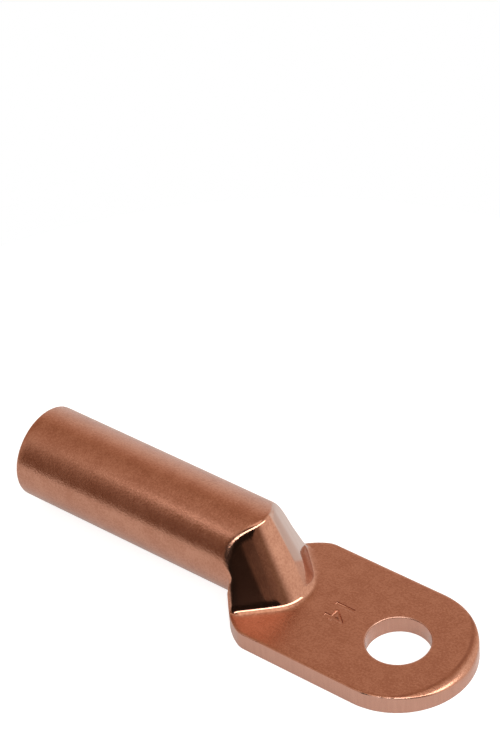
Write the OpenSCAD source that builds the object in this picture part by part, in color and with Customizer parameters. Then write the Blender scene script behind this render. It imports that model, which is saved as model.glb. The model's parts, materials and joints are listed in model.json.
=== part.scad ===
// Copper cable lug, forged in one piece: a round barrel, bored blind for the
// conductor, runs through a steep neck into a flat palm with a stud hole.
//
// Millimetres. The origin is the centre of the stud hole on the palm's
// contact face. +X points along the lug to the palm's tip, +Z up through
// the stud hole, and the barrel's mouth faces -X.

/* [Barrel] */
// Outer diameter of the barrel
barrel_od = 22; // [18:0.5:26]
// Diameter of the bore that takes the conductor
bore_d = 16.5; // [12:0.5:17.5]
// Straight length of the barrel, from its mouth to the neck
barrel_len = 62.6; // [54:0.2:66]
// Part of that length that the full bore leaves solid
solid_end = 7.6; // [6:0.2:16]
// Point angle of the drill that made the bore
drill_angle = 118; // [90:2:140]
// Chamfer round the outside of the mouth
mouth_chamfer = 0.4; // [0.2:0.1:1]
// Chamfer that leads the conductor into the bore
entry_chamfer = 0.8; // [0.3:0.1:1.2]

/* [Palm] */
// Width across the palm
palm_w = 35; // [30:0.5:42]
// Thickness of the palm
palm_t = 4.6; // [3:0.1:7]
// How far the palm's contact face lies below the barrel
palm_step = 1.1; // [0.5:0.1:3]
// From the centre of the stud hole to the palm's tip
tip_reach = 17.5; // [14:0.5:24]
// From the centre of the stud hole to the barrel's mouth
mouth_reach = 100; // [92:1:120]
// Diameter of the stud hole
stud_hole_d = 14.5; // [8:0.5:17]
// Width of the palm's straight heel, at the neck
heel_w = 24; // [20:0.5:27]
// Length of the shoulders, from the heel to the palm's sides
shoulder_len = 7.1; // [5:0.1:10]
// Plan radius of the shoulders
shoulder_r = 16; // [12:0.5:30]
// Width of the rolled upper edge at the palm's tip
roll_w = 2.6; // [1:0.1:3.4]
// How far the rolled edge falls over that width
roll_drop = 1.6; // [0.6:0.1:2]
// How far behind the tip's centre the rolled edge has its own
roll_back = 5.6; // [3:0.1:9]

/* [Neck] */
// Slope of the neck's front, from the palm's top
face_angle = 62.5; // [56:0.5:70]
// How far the crease runs forward over the top of the barrel
crease_bow = 2.9; // [1.5:0.1:5]
// Half angle between the two flanks of the neck's foot
flank_angle = 45; // [38:1:54]
// Radius of the rounded nose between the flanks, at the foot
nose_r = 9; // [6:0.5:11]
// Height above the palm at which the neck's slopes would meet
meet_height = 50; // [36:1:70]
// How far inside the palm's sides the neck's cheeks come down
cheek_in = 4.6; // [1:0.1:6]

/* [Hidden] */
$fn = 96;

// How far tools and joined shapes run past each other.
lap = 1;

barrel_r = barrel_od / 2;
axis_z = palm_step + barrel_r;
barrel_top = axis_z + barrel_r;
mouth_x = -mouth_reach;
neck_x = mouth_x + barrel_len;

// Each shoulder is an arc from the heel's end to a corner on the palm's side.
corner_x = neck_x + shoulder_len;
shoulder_rise = (palm_w - heel_w) / 2;
shoulder_chord = norm([shoulder_len, shoulder_rise]);
corner_angle = atan2(shoulder_rise, shoulder_len) - asin(shoulder_chord / (2 * shoulder_r));
shoulder_x = corner_x + shoulder_r * sin(corner_angle);
shoulder_y = palm_w / 2 - shoulder_r * cos(corner_angle);
tip_x = tip_reach - palm_w / 2;

// The rolled edge is an arc in section. It is carried round a centre behind
// the tip's own, so it is widest at the tip and dies out along the sides.
roll_r = (pow(roll_w, 2) + pow(roll_drop, 2)) / (2 * roll_drop);
roll_x = tip_x - roll_back;
flat_r = tip_reach - roll_x - roll_w;

// The neck's front slopes down from the crease to the tip of its foot.
crease_x = neck_x + crease_bow;
foot_x = crease_x + (barrel_top - palm_t) / tan(face_angle);
meet_x = foot_x - meet_height / tan(face_angle);
nose_x = foot_x - nose_r;
roof_top = barrel_top + lap;

bore_len = barrel_len - solid_end;

function foot_scale(z) = 1 - (z - palm_t) / meet_height;

module both_sides() {
    children();
    mirror([0, 1, 0]) children();
}

// Plan of one shoulder, back to the palm's straight heel.
module shoulder_plan() {
    intersection() {
        translate([shoulder_x, shoulder_y])
            circle(shoulder_r);
        translate([neck_x, -lap])
            square([shoulder_x - neck_x, palm_w / 2 + lap]);
    }
}

module palm_plan() {
    both_sides() shoulder_plan();
    translate([shoulder_x, -palm_w / 2])
        square([tip_x - shoulder_x, palm_w]);
    translate([tip_x, 0])
        circle(palm_w / 2);
}

// The flattened blank that the palm is trimmed from, with its rolled end.
module palm_blank() {
    translate([neck_x - lap, -palm_w, -roll_r])
        cube([roll_x - neck_x + lap, 2 * palm_w, palm_t + roll_r]);
    translate([roll_x, 0, -roll_r])
        rotate_extrude() {
            square([flat_r, palm_t + roll_r]);
            square([flat_r + roll_r, palm_t]);
            translate([flat_r, palm_t])
                intersection() {
                    circle(roll_r);
                    square(roll_r);
                }
        }
}

module palm() {
    intersection() {
        linear_extrude(palm_t + lap)
            palm_plan();
        palm_blank();
    }
}

module barrel_blank() {
    reach = foot_x - mouth_x;
    translate([mouth_x, 0, axis_z])
        rotate([0, 90, 0])
            rotate_extrude()
                polygon([
                    [0, 0],
                    [barrel_r - mouth_chamfer, 0],
                    [barrel_r, mouth_chamfer],
                    [barrel_r, reach],
                    [0, reach]
                ]);
}

// Plan of the neck's foot: two flanks that meet in a rounded nose.
module foot_plan() {
    back_x = 3 * mouth_x;
    flank_x = nose_x + nose_r * sin(flank_angle);
    flank_y = nose_r * cos(flank_angle);
    back_y = flank_y + (flank_x - back_x) * tan(flank_angle);
    hull() {
        translate([nose_x, 0]) circle(nose_r);
        polygon([[flank_x, flank_y], [back_x, back_y], [back_x, -back_y], [flank_x, -flank_y]]);
    }
}

// Everything under the neck's sloping front and flanks.
module roof() {
    translate([meet_x, 0, 0])
        linear_extrude(roof_top, scale = foot_scale(roof_top) / foot_scale(0))
            scale(foot_scale(0))
                translate([-meet_x, 0])
                    foot_plan();
}

// The shoulders carried up to the barrel's sides, between sloping cheeks.
module shoulder_walls() {
    base_z = palm_t / 2;
    top_z = axis_z + lap;
    lean = (palm_w / 2 - cheek_in - barrel_r) / (axis_z - palm_t);
    base_y = barrel_r + lean * (axis_z - base_z);
    top_y = barrel_r - lean * lap;
    intersection() {
        translate([0, 0, base_z])
            linear_extrude(top_z - base_z)
                both_sides() shoulder_plan();
        translate([neck_x - lap, 0, 0])
            rotate([90, 0, 90])
                linear_extrude(shoulder_x - neck_x + 2 * lap)
                    polygon([[base_y, base_z], [top_y, top_z], [-top_y, top_z], [-base_y, base_z]]);
    }
}

// The drilled bore: a lead-in at the mouth, the full bore, and the drill's point.
module cable_bore() {
    bore_r = bore_d / 2;
    entry_r = bore_r + entry_chamfer;
    translate([mouth_x, 0, axis_z])
        rotate([0, 90, 0])
            rotate_extrude()
                polygon([
                    [0, -lap],
                    [entry_r + lap, -lap],
                    [bore_r, entry_chamfer],
                    [bore_r, bore_len],
                    [0, bore_len + bore_r / tan(drill_angle / 2)]
                ]);
}

module cable_lug() {
    color([0.72, 0.43, 0.31])
        difference() {
            union() {
                palm();
                intersection() {
                    union() {
                        barrel_blank();
                        shoulder_walls();
                    }
                    roof();
                }
            }
            cable_bore();
            translate([0, 0, -lap])
                cylinder(d = stud_hole_d, h = palm_t + 2 * lap);
        }
}

cable_lug();
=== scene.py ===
import json
import math

import bmesh
import bpy
from mathutils import Euler, Matrix, Vector


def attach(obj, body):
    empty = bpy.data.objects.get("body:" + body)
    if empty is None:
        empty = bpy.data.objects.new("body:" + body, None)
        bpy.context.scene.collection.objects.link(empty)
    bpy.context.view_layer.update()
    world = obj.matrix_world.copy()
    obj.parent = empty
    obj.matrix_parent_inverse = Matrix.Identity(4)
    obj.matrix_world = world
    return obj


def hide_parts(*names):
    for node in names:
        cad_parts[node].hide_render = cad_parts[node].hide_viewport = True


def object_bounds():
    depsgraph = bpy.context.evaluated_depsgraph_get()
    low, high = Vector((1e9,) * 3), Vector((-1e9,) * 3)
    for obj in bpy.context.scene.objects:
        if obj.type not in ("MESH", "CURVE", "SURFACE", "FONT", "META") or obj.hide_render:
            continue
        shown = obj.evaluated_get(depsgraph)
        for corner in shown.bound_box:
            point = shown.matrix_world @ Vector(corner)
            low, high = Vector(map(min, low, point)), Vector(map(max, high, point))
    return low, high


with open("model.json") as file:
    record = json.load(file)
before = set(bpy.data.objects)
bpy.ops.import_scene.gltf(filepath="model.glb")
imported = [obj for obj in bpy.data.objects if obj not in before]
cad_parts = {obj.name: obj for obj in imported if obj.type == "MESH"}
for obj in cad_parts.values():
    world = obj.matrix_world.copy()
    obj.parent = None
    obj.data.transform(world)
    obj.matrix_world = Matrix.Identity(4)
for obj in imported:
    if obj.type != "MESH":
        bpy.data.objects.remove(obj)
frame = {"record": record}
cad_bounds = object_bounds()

mm = 0.001

# ---------------------------------------------------------------------------
# The room. The lug lies on a round white card under a long soft box, with a
# near-white wall beyond it. The rest of the room is dim and warm, with a few
# pale panels, and the polished neck shows it as dark and light bands.


class Wire:
    """A node socket. Sums and products of wires add their own Math nodes."""

    def __init__(self, tree, socket=None):
        self.tree = tree
        self.socket = socket

    def add(self, kind, inputs=(), output=0, stops=(), **settings):
        node = self.tree.nodes.new(kind)
        for name, value in settings.items():
            setattr(node, name, value)
        if stops:
            ramp = node.color_ramp.elements
            while len(ramp) < len(stops):
                ramp.new(0.5)
            for element, (place, colour) in zip(ramp, stops):
                element.position = place
                element.color = (*colour, 1.0)
        pairs = inputs.items() if isinstance(inputs, dict) else enumerate(inputs)
        for key, value in pairs:
            if isinstance(value, Wire):
                self.tree.links.new(value.socket, node.inputs[key])
            elif value is not None:
                node.inputs[key].default_value = value
        return Wire(self.tree, node.outputs[output] if node.outputs else None)

    def sibling(self, output):
        return Wire(self.tree, self.socket.node.outputs[output])

    def maths(self, operation, *others, **settings):
        return self.add("ShaderNodeMath", (self, *others), operation=operation, **settings)

    def split(self):
        x = self.add("ShaderNodeSeparateXYZ", (self,))
        return x, x.sibling(1), x.sibling(2)

    def joined(self, y, z):
        return self.add("ShaderNodeCombineXYZ", (self, y, z))

    def dot(self, direction):
        inputs = {0: self, 1: direction}
        return self.add("ShaderNodeVectorMath", inputs, output="Value", operation="DOT_PRODUCT")

    def ramp(self, low, high, to_low=0.0, to_high=1.0):
        inputs = (self, low, high, to_low, to_high)
        return self.add("ShaderNodeMapRange", inputs, interpolation_type="SMOOTHSTEP")

    def blend(self, first, second):
        """From one colour to the other as this wire goes from 0 to 1."""
        inputs = {"Factor": self, 6: first, 7: second}
        return self.add("ShaderNodeMix", inputs, output=2, data_type="RGBA")

    def noise(self, size, **inputs):
        inputs = {"Vector": self, "Scale": 1 / size, **inputs}
        return self.add("ShaderNodeTexNoise", inputs)

    def floor_at(self, other):
        return self.maths("MAXIMUM", other)

    def cap_at(self, other):
        return self.maths("MINIMUM", other)

    def __add__(self, other):
        return self.maths("ADD", other)

    def __radd__(self, other):
        return self + other

    def __sub__(self, other):
        return self.maths("SUBTRACT", other)

    def __rsub__(self, other):
        return self * -1 + other

    def __mul__(self, other):
        return self.maths("MULTIPLY", other)

    def __rmul__(self, other):
        return self * other

    def __truediv__(self, other):
        return self.maths("DIVIDE", other)

    def __abs__(self):
        return self.maths("ABSOLUTE")


def heading(azimuth, elevation):
    """A direction, from degrees round from +X and degrees above the card."""
    turn, rise = math.radians(azimuth), math.radians(elevation)
    return Vector((math.cos(turn) * math.cos(rise), math.sin(turn) * math.cos(rise), math.sin(rise)))


def within(degrees):
    return math.cos(math.radians(degrees))


white = (1, 1, 1, 1)
wall_tones = (
    # from the dim side of the room, over the ceiling, to the white wall
    (0.00, (0.20, 0.135, 0.10)),
    (0.07, (0.29, 0.21, 0.165)),
    (0.13, (0.31, 0.23, 0.17)),
    (0.22, (0.24, 0.145, 0.10)),
    (0.27, (0.21, 0.12, 0.08)),
    (0.31, (0.26, 0.145, 0.09)),
    (0.37, (0.55, 0.42, 0.34)),
    (0.425, (0.72, 0.58, 0.50)),
    (0.50, (0.66, 0.49, 0.39)),
    (0.625, (0.56, 0.38, 0.28)),
    (0.735, (0.50, 0.33, 0.23)),
    (0.82, (0.58, 0.38, 0.27)),
    (0.88, (0.71, 0.52, 0.42)),
    (0.925, (0.84, 0.69, 0.61)),
    (0.96, (0.92, 0.85, 0.80)),
    (1.00, (0.93, 0.90, 0.90)),
)
room = bpy.data.worlds.new("room")
bpy.context.scene.world = room
room.use_nodes = True
room.node_tree.nodes.clear()
toward = Wire(room.node_tree).add("ShaderNodeTexCoord", output="Generated")
level = toward.dot(heading(120, 0)) * 0.5 + 0.5
walls = toward.add("ShaderNodeValToRGB", (level,), stops=wall_tones)
panel = toward.dot(heading(40, 12)).ramp(within(60), within(30))
walls = panel.blend(walls, (1.08, 1.0, 0.92, 1))
up = toward.split()[2]
doorway = toward.dot(heading(-72, 22)).ramp(within(35), within(33.5))
walls = doorway.blend(walls, (0.02, 0.0165, 0.0145, 1))
skylight = up.ramp(0.92, 0.975)
walls = skylight.blend(walls, (1.5, 1.35, 1.2, 1))
seen = toward.add("ShaderNodeLightPath", output="Is Camera Ray")
light = toward.add("ShaderNodeBackground", {"Color": seen.blend(walls, white)})
light.add("ShaderNodeOutputWorld", {"Surface": light})

lamps = (
    # name, aimed at (mm), heading to it, metres away, width, height, watts
    ("soft_box", (-35, 0, 10), heading(-32, 50), 0.5, 1.05, 0.17, 2.85),
    ("small_box", (-45, -7, 20), heading(-134, 45), 0.2, 0.045, 0.025, 0.0045),
)
for name, aim, away, far, width, height, watts in lamps:
    box = bpy.data.lights.new(name, "AREA")
    box.shape = "RECTANGLE"
    box.size = width
    box.size_y = height
    box.energy = watts
    box_stand = bpy.data.objects.new(name, box)
    box_stand.location = Vector(aim) * mm + away * far
    box_stand.visible_camera = False
    box_stand.rotation_euler = away.to_track_quat("Z", "Y").to_euler()
    bpy.context.scene.collection.objects.link(box_stand)

card_r = 150 * mm
card_centre = Vector((-41, 0, 0)) * mm
card_matt = (0.5, 0.5, 0.5, 1)
card_glow = (0.3, 0.3, 0.3, 1)
card_glow_seen = (0.8, 0.8, 0.8, 1)
sheet = bmesh.new()
sheet_place = Matrix.Translation(card_centre)
bmesh.ops.create_circle(sheet, cap_ends=True, segments=96, radius=card_r, matrix=sheet_place)
sheet_mesh = bpy.data.meshes.new("white_card")
sheet.to_mesh(sheet_mesh)
sheet.free()
card = bpy.data.materials.new("white_card")
card.use_nodes = True
card.node_tree.nodes.clear()
seen = Wire(card.node_tree).add("ShaderNodeLightPath", output="Is Camera Ray")
matt = seen.add("ShaderNodeBsdfDiffuse", {"Color": card_matt})
glow = seen.add("ShaderNodeEmission", {"Color": seen.blend(card_glow, card_glow_seen), "Strength": 1.0})
lit_card = seen.add("ShaderNodeAddShader", (matt, glow))
lit_card.add("ShaderNodeOutputMaterial", {"Surface": lit_card})
sheet_mesh.materials.append(card)
sheet_object = bpy.data.objects.new("white_card", sheet_mesh)
bpy.context.scene.collection.objects.link(sheet_object)

# ---------------------------------------------------------------------------
# The lug is forged from a length of copper rod: one end is struck flat for the
# palm, the neck is pressed down to it, and the palm is then sheared to shape.

low, high = (Vector(corner) for corner in cad_bounds)
mounts = {mount["name"]: mount for mount in frame["record"]["mounts"]}
palm_t = mounts["stud_hole"]["dims"]["length_mm"] * mm
barrel_r = 11 * mm
barrel_z = high.z - barrel_r
mouth_x = low.x
neck_x = mouth_x + 62.6 * mm
palm_r = high.y
tip_x = high.x - palm_r

corner_x = neck_x + 7.1 * mm
heel_r = 12 * mm
shoulder_r = 16 * mm
rise, run = palm_r - heel_r, corner_x - neck_x
corner_turn = math.atan2(rise, run) - math.asin(math.hypot(rise, run) / (2 * shoulder_r))

face_slope = math.tan(math.radians(62.5))
meet_height = 50 * mm
foot_x = neck_x + 2.9 * mm + (high.z - palm_t) / face_slope
nose_r = 9 * mm
flank = math.radians(45)

roll_w, roll_drop = 2.6 * mm, 1.6 * mm
roll_r = (roll_w ** 2 + roll_drop ** 2) / (2 * roll_drop)
roll_x = tip_x - 5.6 * mm

forging_sizes = {
    "Barrel radius": barrel_r,
    "Barrel height": barrel_z,
    "Mouth": mouth_x,
    "Mouth chamfer": 0.4 * mm,
    "Neck": neck_x,
    "Shoulder radius": shoulder_r,
    "Shoulder centre X": corner_x + shoulder_r * math.sin(corner_turn),
    "Shoulder centre Y": palm_r - shoulder_r * math.cos(corner_turn),
    "Palm half width": palm_r,
    "Palm thickness": palm_t,
    "Tip centre": tip_x,
    "Meeting point": foot_x - meet_height / face_slope,
    "Meeting height": meet_height,
    "Nose centre": foot_x - nose_r,
    "Nose radius": nose_r,
    "Flank bend": 0.035,
    "Flank bend start": 2.2 * mm,
    "Flank bend drift": 9 * mm,
    "Cheek foot": palm_r - 3.9 * mm,
    "Rolled edge centre": roll_x,
    "Rolled edge start": high.x - roll_x - roll_w,
    "Rolled edge radius": roll_r,
    "Crease softness": 1.0 * mm,
    "Foot softness": 2.0 * mm,
    "Sheared edge softness": 0.5 * mm,
    "Corner softness": 0.6 * mm,
    "Mouth softness": 0.3 * mm,
    "Shoulder lap": 1.0 * mm,
    "Hammering": 0.008 * mm,
}


def length(a, b):
    return (a * a + b * b).maths("SQRT")


def outline_gap(size, x, side):
    """Distance from the palm's sheared outline in plan."""
    tip = length((x - size["Tip centre"]).floor_at(0), side) - size["Palm half width"]
    behind = (x - size["Shoulder centre X"]).cap_at(0)
    shoulder = length(behind, (side - size["Shoulder centre Y"]).floor_at(0)) - size["Shoulder radius"]
    return tip.maths("SMOOTH_MAX", shoulder, size["Corner softness"]).floor_at(size["Neck"] - x)


def down_neck(size, x, y, z):
    """Where a place on the neck comes down to at the palm, and how much the neck narrows to it."""
    narrow = 1 - (z - size["Palm thickness"]) / size["Meeting height"]
    along = (x - size["Meeting point"]) / narrow + size["Meeting point"] - size["Nose centre"]
    return along, y / narrow, narrow


def roof_gap(size, x, side, z):
    """Distance from the neck's sloping front and flanks."""
    along, across, narrow = down_neck(size, x, side, z)
    out = along * math.sin(flank) + across * math.cos(flank)
    back = across * math.sin(flank) - along * math.cos(flank)
    plan = length(out.floor_at(0), back.cap_at(0)) + out.cap_at(0) - size["Nose radius"]
    bend = back - (1 - narrow) * size["Flank bend drift"] - size["Flank bend start"]
    plan = plan + bend.floor_at(0) * size["Flank bend"]
    return plan * narrow * math.sin(math.atan(face_slope))


def skin_gap(size, place):
    """Distance from a place to the forging's skin, less than zero in the copper."""
    x, y, z = place.split()
    side = abs(y)
    outline = outline_gap(size, x, side)

    round_tip = length((x - size["Rolled edge centre"]).floor_at(0), y) - size["Rolled edge start"]
    over = z - size["Palm thickness"]
    top = length(round_tip.floor_at(0), (over + size["Rolled edge radius"]).floor_at(0))
    top = top - size["Rolled edge radius"]
    edge = size["Sheared edge softness"]
    palm = outline.maths("SMOOTH_MAX", top, edge).maths("SMOOTH_MAX", z * -1, edge)

    barrel = length(y, z - size["Barrel height"]) - size["Barrel radius"]
    mouth = (barrel + size["Mouth"] - x + size["Mouth chamfer"]) * math.sqrt(0.5)
    barrel = barrel.maths("SMOOTH_MAX", mouth, size["Mouth softness"])

    cheek_run = size["Barrel height"] - size["Palm thickness"]
    lean = (size["Cheek foot"] - size["Barrel radius"]) / cheek_run
    cheek = side - size["Barrel radius"] - lean * (size["Barrel height"] - z)
    walls = outline.floor_at(cheek).floor_at(z - size["Barrel height"] - size["Shoulder lap"])
    walls = walls.maths("SMOOTH_MAX", z * -1, edge)

    roof = roof_gap(size, x, side, z).maths("SMOOTH_MIN", top, size["Foot softness"])
    neck = barrel.floor_at(x - size["Tip centre"])
    neck = neck.maths("SMOOTH_MIN", walls, size["Corner softness"])
    return neck.maths("SMOOTH_MAX", roof, size["Crease softness"]).cap_at(palm)


# The skin is found from a line inside the copper. From the barrel's axis the
# line comes down into the palm, and rays fan out from it in rings.
drop_from, drop_to = neck_x - 32 * mm, neck_x - 5 * mm
spread_from, spread_to = neck_x - 6.6 * mm, neck_x + 13.4 * mm
core_z = palm_t / 2
core_w = palm_r - core_z
heel_step = 0.01 * mm
chamfer_end = mouth_x + 0.6 * mm
quarter = math.pi / 2
stretches = (
    # from, to, rings, turn from, turn to, reach from
    (mouth_x, mouth_x, 1, 0, 0, 0),
    (mouth_x, chamfer_end, 4, 0, 0, 1),
    (chamfer_end, drop_from, 24, 0, 0, 1),
    (drop_from, drop_to, 36, 0, 0, 1),
    (drop_to, neck_x - heel_step, 12, 0, 0, 1),
    (neck_x - heel_step, neck_x + heel_step, 1, 0, 0, 1),
    (neck_x + heel_step, foot_x + 2 * mm, 84, 0, 0, 1),
    (foot_x + 2 * mm, tip_x, 40, 0, 0, 1),
    (tip_x, tip_x, 84, 0, quarter, 1),
)
rays_round = 256
walk_steps = 48
crowd_to_flanks = 0.32
dent_size = 7 * mm
weld = 0.002 * mm


def forging_tree():
    """Rings of points walk out along their rays to the skin, and the tools cut what they make."""
    tree = bpy.data.node_groups.new("forging", "GeometryNodeTree")
    face = tree.interface
    sockets = {}
    for name in forging_sizes:
        sockets[name] = face.new_socket(name, in_out="INPUT", socket_type="NodeSocketFloat")
    for name in ("Drill", "Punch", "Stamp"):
        sockets[name] = face.new_socket(name, in_out="INPUT", socket_type="NodeSocketObject")
    sockets["Finish"] = face.new_socket("Finish", in_out="INPUT", socket_type="NodeSocketMaterial")
    face.new_socket("Lug", in_out="OUTPUT", socket_type="NodeSocketGeometry")
    start = Wire(tree).add("NodeGroupInput")
    size = {name: start.sibling(name) for name in sockets}

    rings = Wire(tree).add("GeometryNodeJoinGeometry")
    join = rings.socket.node
    for begin, end, count, turn_from, turn_to, reach_from in stretches:
        inputs = {"Vertices X": count + 1, "Vertices Y": rays_round + 1}
        grid = start.add("GeometryNodeMeshGrid", inputs)
        u, v, _ = grid.sibling("UV Map").split()
        station = begin + u * (end - begin)
        turn = turn_from + u * (turn_to - turn_from)
        reach = reach_from + u * (1 - reach_from)
        evenly = v * math.tau
        crowding = station.ramp(spread_from, spread_to, 0.0, crowd_to_flanks)
        around = evenly - (evenly * 2).maths("SINE") * crowding
        core = station.ramp(spread_from, spread_to, 0.0, core_w)
        level = station.ramp(drop_from, drop_to, barrel_z, core_z)
        shy = turn.maths("COSINE")
        ahead = turn.maths("SINE")
        wide = around.maths("COSINE") * shy
        tall = around.maths("SINE") * shy
        origin = (station + core * ahead).joined(core * wide, level)
        ray = (ahead * reach).joined(wide * reach, tall * reach)
        placed = grid.add("GeometryNodeSetPosition", {"Geometry": grid, "Position": origin})
        kept = {"Geometry": placed, "Name": "ray", "Value": ray}
        kept = grid.add("GeometryNodeStoreNamedAttribute", kept, data_type="FLOAT_VECTOR")
        tree.links.new(kept.socket, join.inputs[0])

    walk = tree.nodes.new("GeometryNodeRepeatInput")
    stop = tree.nodes.new("GeometryNodeRepeatOutput")
    walk.pair_with_output(stop)
    walk.inputs["Iterations"].default_value = walk_steps
    tree.links.new(rings.socket, walk.inputs["Geometry"])
    here = start.add("GeometryNodeInputPosition")
    ray = here.add("GeometryNodeInputNamedAttribute", {"Name": "ray"}, data_type="FLOAT_VECTOR")
    dents = here.noise(dent_size, Detail=1.0) * size["Hammering"]
    gap = skin_gap(size, here) + dents
    step = here.add("ShaderNodeVectorMath", {0: ray, "Scale": gap * -1}, operation="SCALE")
    moved = {"Geometry": Wire(tree, walk.outputs["Geometry"]), "Offset": step}
    moved = here.add("GeometryNodeSetPosition", moved)
    tree.links.new(moved.socket, stop.inputs["Geometry"])
    skin = Wire(tree, stop.outputs["Geometry"])
    skin = skin.add("GeometryNodeMergeByDistance", {"Geometry": skin, "Distance": weld})
    skin = skin.add("GeometryNodeFlipFaces", {"Mesh": skin})

    cut = skin.add("GeometryNodeMeshBoolean", {"Mesh 1": skin}, operation="DIFFERENCE", solver="MANIFOLD")
    for name in ("Drill", "Punch", "Stamp"):
        tool = skin.add("GeometryNodeObjectInfo", {"Object": size[name]}, output="Geometry")
        tree.links.new(tool.socket, cut.socket.node.inputs["Mesh 2"])
    whole = cut.add("GeometryNodeRealizeInstances", (cut,))
    whole = whole.add("GeometryNodeSetMaterial", {"Geometry": whole, "Material": size["Finish"]})
    whole.add("NodeGroupOutput", {"Lug": whole})
    return tree, sockets


# The drill, the punch and the number stamp, each a closed tool of hardened
# steel. The punch rounds the rim where it goes in and breaks out wider below.


def turned_tool(name, profile, place):
    """A closed tool turned about Z from (radius, height) pairs, then placed."""
    mesh = bmesh.new()
    corners = [mesh.verts.new((radius, 0, height)) for radius, height in profile]
    for pair in zip(corners, corners[1:]):
        mesh.edges.new(pair)
    parts = mesh.verts[:] + mesh.edges[:]
    bmesh.ops.spin(mesh, geom=parts, cent=(0, 0, 0), axis=(0, 0, 1), angle=math.tau, steps=128)
    return finished_tool(name, mesh, place)


def finished_tool(name, mesh, place):
    bmesh.ops.remove_doubles(mesh, verts=mesh.verts, dist=0.001 * mm)
    bmesh.ops.recalc_face_normals(mesh, faces=mesh.faces)
    mesh.transform(place)
    data = bpy.data.meshes.new(name)
    mesh.to_mesh(data)
    mesh.free()
    tool = bpy.data.objects.new(name, data)
    bpy.context.scene.collection.objects.link(tool)
    return tool


def arc(centre_r, centre_z, radius, start, end, count):
    """Points of a profile's rounded corner, from one angle to another."""
    turns = [math.radians(start + (end - start) * i / count) for i in range(count + 1)]
    return [(centre_r + radius * math.cos(t), centre_z + radius * math.sin(t)) for t in turns]


past = 2 * mm
bore_r = mounts["cable_bore"]["dims"]["r_mm"] * mm
bore_lead = 0.8 * mm
bore_depth = mounts["cable_bore"]["dims"]["length_mm"] * mm + bore_lead
drill_angle = 118
point_r = 0.8 * mm
point_tip = bore_depth + bore_r / math.tan(math.radians(drill_angle / 2))
drill_profile = [
    (0, -past),
    (bore_r + bore_lead + past, -past),
    (bore_r, bore_lead),
    (bore_r, bore_depth - point_r),
    *arc(bore_r - point_r, bore_depth - point_r, point_r, 15, 55, 4),
    (0, point_tip - point_r / 2),
]
into_barrel = Matrix.Translation((mouth_x, 0, barrel_z)) @ Matrix.Rotation(quarter, 4, "Y")
drill = turned_tool("drill", drill_profile, into_barrel)

hole_r = mounts["stud_hole"]["dims"]["r_mm"] * mm
rim_r = 0.3 * mm
rim_turn = 75
rim_top = hole_r + rim_r * (1 - math.cos(math.radians(rim_turn)))
break_out = 0.1 * mm
torn_edge = 0.2 * mm
punch_profile = [
    (0, -past),
    (hole_r + break_out + torn_edge, -past),
    (hole_r + break_out + torn_edge, 0),
    (hole_r + break_out, torn_edge),
    (hole_r + 0.6 * break_out, 0.38 * palm_t),
    (hole_r, 0.46 * palm_t),
    *arc(hole_r + rim_r, palm_t - rim_r, rim_r, 180, 180 - rim_turn, 6),
    (rim_top, palm_t + past),
    (0, palm_t + past),
]
punch = turned_tool("punch", punch_profile, Matrix.Identity(4))

# The stud's size in millimetres is struck into the palm behind the hole.
digit_h = 4.9 * mm
digit_share = 0.7        # of the letter size that a digit's height takes
digit_thinning = 0.12 * mm
strike = 0.3 * mm
stamp_x, stamp_y = -18.2 * mm, 0.3 * mm
digits = bpy.data.curves.new("stamp", "FONT")
digits.body = "14"
digits.size = digit_h / digit_share
digits.align_x = "CENTER"
digits.offset = -digit_thinning
digits.bevel_depth = strike
digits.bevel_resolution = 2
digits_object = bpy.data.objects.new("stamp", digits)
bpy.context.scene.collection.objects.link(digits_object)
bpy.context.view_layer.update()
digits_seen = digits_object.evaluated_get(bpy.context.evaluated_depsgraph_get())
stamp_mesh = bmesh.new()
stamp_mesh.from_mesh(digits_seen.to_mesh())
bpy.data.objects.remove(digits_object)
stamp_place = Matrix.Translation((stamp_x, stamp_y, palm_t)) @ Matrix.Rotation(-quarter, 4, "Z")
stamp = finished_tool("stamp", stamp_mesh, stamp_place)

# The finish. Barrel and palm are pickled copper, satin and finely pitted; the
# neck is burnished by the die; sheared sides and the punched hole are paler.

satin_tones = (0.46, 0.215, 0.14, 1), (0.56, 0.285, 0.195, 1)
polished_tones = (0.47, 0.225, 0.15, 1), (0.59, 0.305, 0.21, 1)
cut_tones = (0.54, 0.30, 0.225, 1), (0.58, 0.33, 0.25, 1)
painted_reflection_tone = (0.555, 0.385, 0.325, 1)
roll_painted_shade_tone = (0.33, 0.14, 0.09, 1)
satin_rough, polished_rough, cut_rough, bore_rough = 0.23, 0.1, 0.24, 0.4
pit_depth, tear_depth, line_depth = 0.045 * mm, 0.006 * mm, 0.002 * mm

copper = bpy.data.materials.new("copper")
copper.use_nodes = True
copper.node_tree.nodes.clear()
place = Wire(copper.node_tree).add("ShaderNodeTexCoord", output="Object")
x, y, z = place.split()
side = abs(y)

above = z - palm_t
under_roof = abs(roof_gap(forging_sizes, x, side, z)).ramp(0.5 * mm, 0.25 * mm)
burnished = under_roof * above.ramp(0.05 * mm, 0.4 * mm) * x.ramp(neck_x - mm, neck_x)
at_outline = outline_gap(forging_sizes, x, side).ramp(-0.3 * mm, -0.12 * mm)
at_outline = at_outline * above.ramp(0.3 * mm, 0)
in_hole = length(x, y).ramp(hole_r + 0.42 * mm, hole_r + 0.3 * mm)
bore_end = mouth_x + point_tip + mm
in_bore = length(y, z - barrel_z).ramp(bore_r + 1.1 * mm, bore_r + 0.9 * mm)
in_bore = in_bore * x.ramp(bore_end, bore_end - mm)
sheared = at_outline.floor_at(in_hole)

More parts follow.
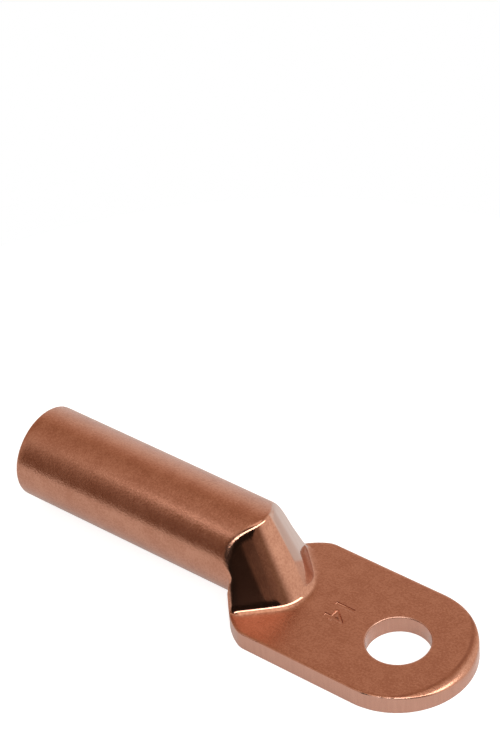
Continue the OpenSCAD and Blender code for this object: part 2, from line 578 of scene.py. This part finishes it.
along, across, _ = down_neck(forging_sizes, x, y, z)
upright = x.joined(y, z * 0.08)
clouds = place.noise(4 * mm, Detail=4.0, Roughness=0.65)
grain = place.noise(0.5 * mm, Detail=3.0, Roughness=0.65)
tears = upright.noise(0.5 * mm, Detail=2.0)
polish_lines = along.joined(across, 0.0).noise(0.35 * mm, Detail=2.0)

tone = (clouds - 0.5) * 1.2 + (grain - 0.5) * 1.6 + 0.5
skin = tone.ramp(0.15, 0.85).blend(*satin_tones)
cut_skin = tears.ramp(0.2, 0.8).blend(*cut_tones)
# A painted shade: a dark line is painted into the colour just inside where the tip's edge begins to roll,
# standing in for the shade seen along that bend.
roll_start = length((x - roll_x).floor_at(0), y) - forging_sizes["Rolled edge start"]
roll_painted_shade = abs(roll_start - 0.25 * mm).ramp(0.6 * mm, 0.1 * mm) * x.ramp(roll_x, roll_x + 5 * mm)
skin = (roll_painted_shade * clouds.ramp(0.3, 0.6) * 0.7).blend(skin, roll_painted_shade_tone)
colour = sheared.blend(skin, cut_skin)
# A painted reflection: the far flank of the neck gets a pale patch painted into its burnished colour,
# standing in for the pale reflection a glancing flank shows.
far_flank_painted_reflection = across.ramp(1.4 * mm, 2.4 * mm) * (y + above * 1.6).ramp(12.5 * mm, 14 * mm)
bright = tone.ramp(0.1, 0.9).blend(*polished_tones)
burnish_and_painted_reflection = far_flank_painted_reflection.blend(bright, painted_reflection_tone)
colour = burnished.blend(colour, burnish_and_painted_reflection)

rough = satin_rough + (clouds - 0.5) * 0.1
rough = rough + (polished_rough - rough) * burnished
rough = rough + (cut_rough - rough) * sheared * (1 - burnished)
rough = rough + (bore_rough - rough) * in_bore
rough = rough.floor_at(0.08)

pits = grain * (1 - burnished) * (1 - sheared) * pit_depth
pits = pits + tears * sheared * tear_depth + polish_lines * burnished * line_depth
bump = place.add("ShaderNodeBump", {"Strength": 1.0, "Distance": 1.0, "Height": pits})
skin_shader = {"Base Color": colour, "Metallic": 1.0, "Roughness": rough, "Normal": bump}
surface = place.add("ShaderNodeBsdfPrincipled", skin_shader)
surface.add("ShaderNodeOutputMaterial", {"Surface": surface})

# The lug is one piece of copper: the forging is made, cut with its drill and
# punch, struck with its number, and put in the solid's place.

tree, sockets = forging_tree()
blank = bpy.data.objects.new("blank", bpy.data.meshes.new("blank"))
bpy.context.scene.collection.objects.link(blank)
maker = blank.modifiers.new("forging", "NODES")
maker.node_group = tree
given = {**forging_sizes, "Drill": drill, "Punch": punch, "Stamp": stamp, "Finish": copper}
for name, value in given.items():
    maker[sockets[name].identifier] = value
bpy.context.view_layer.update()
made = blank.evaluated_get(bpy.context.evaluated_depsgraph_get())
lug_mesh = bpy.data.meshes.new_from_object(made)
for spent in (blank, drill, punch, stamp):
    bpy.data.objects.remove(spent)
lug_mesh.shade_smooth()
lug_mesh.set_sharp_from_angle(angle=math.radians(40))
lug = bpy.data.objects.new("lug", lug_mesh)
bpy.context.scene.collection.objects.link(lug)
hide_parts("cable_lug")
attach(lug, "root")

# ---------------------------------------------------------------------------
# The camera stands off the palm's near side and looks down along the lug. It
# has a long lens, so the barrel and the palm keep nearly the same scale.

lens = bpy.data.cameras.new("camera")
lens.sensor_fit = "HORIZONTAL"
lens.sensor_width = 36
lens.lens = 201.6
lens.clip_start = 0.01
camera = bpy.data.objects.new("camera", lens)
camera.location = Vector((265.262, -347.396, 428.731)) * mm
looks_down, looks_round, leans = (math.radians(angle) for angle in (38.386, 40.89, -4.929))
upright_view = Euler((quarter - looks_down, 0, looks_round)).to_matrix()
camera.rotation_euler = (upright_view @ Matrix.Rotation(leans, 3, "Z")).to_euler()
bpy.context.scene.collection.objects.link(camera)
bpy.context.scene.camera = camera
bpy.context.scene.view_settings.view_transform = "Standard"
